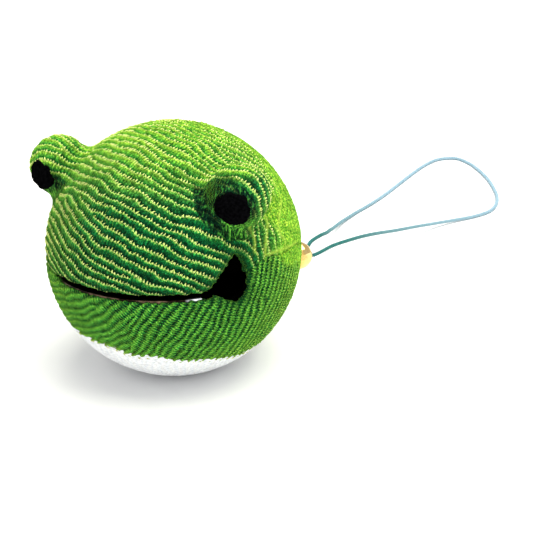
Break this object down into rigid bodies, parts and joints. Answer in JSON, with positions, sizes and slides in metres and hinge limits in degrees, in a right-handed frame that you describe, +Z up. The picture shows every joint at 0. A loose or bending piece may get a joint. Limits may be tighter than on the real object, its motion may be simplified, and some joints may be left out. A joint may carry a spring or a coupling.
{
  "type": "frog head bell charm",
  "caption": "Round slotted bell wrapped in crinkled green cloth as a frog's head, with eye bumps, a pale belly and a thin strap loop.",
  "frame": {"origin": "middle of the small flat that the charm stands on, under the middle of the ball", "axes": "+Z up, the frog looks along -Y, its left side is +X, and the strap loop lies behind it along +Y"},
  "size_m": [0.0334, 0.1054, 0.0316],
  "materials": {
    "bell_brass": "bright stamped sheet, slightly tarnished",
    "pellet_steel": "dull",
    "wire_brass": "polished wire",
    "bead_brass": "polished",
    "core_wood": "plain turned wood, hidden",
    "crepe_green": "crinkled crepe, dark in its valleys, yellow-green on its crests",
    "crepe_white": "fine white crepe",
    "felt_black": "matt felt",
    "cord_teal": "tightly twisted waxed cord"
  },
  "bodies": {
    "head": {"bell_front_shell": "bell_brass", "bell_rear_shell": "bell_brass", "hanger_eye": "wire_brass", "eye_core_right": "core_wood", "eye_core_left": "core_wood", "pupil_right": "felt_black", "pupil_left": "felt_black", "head_cover": "crepe_green", "jaw_cover": "crepe_green", "belly_patch": "crepe_white"},
    "pellet": {"rattle_pellet": "pellet_steel"},
    "ring": {"jump_ring": "wire_brass"},
    "strap": {"strap_bead": "bead_brass", "cord_bight": "cord_teal", "cord_loop": "cord_teal"}
  },
  "joints": [
    {"name": "pellet_roll", "type": "hinge", "parent": "head", "child": "pellet", "pos_m": [0, 0, 0.01559], "axis": [1, 0, 0], "continuous": true},
    {"name": "ring_swing", "type": "hinge", "parent": "head", "child": "ring", "pos_m": [0.00508, 0.01563, 0.00861], "axis": [0.9511, -0.309, 0], "range_deg": [-75, 75]},
    {"name": "strap_swing", "type": "hinge", "parent": "ring", "child": "strap", "pos_m": [0.00576, 0.01772, 0.00836], "axis": [0, 0, 1], "range_deg": [-60, 60]}
  ]
}
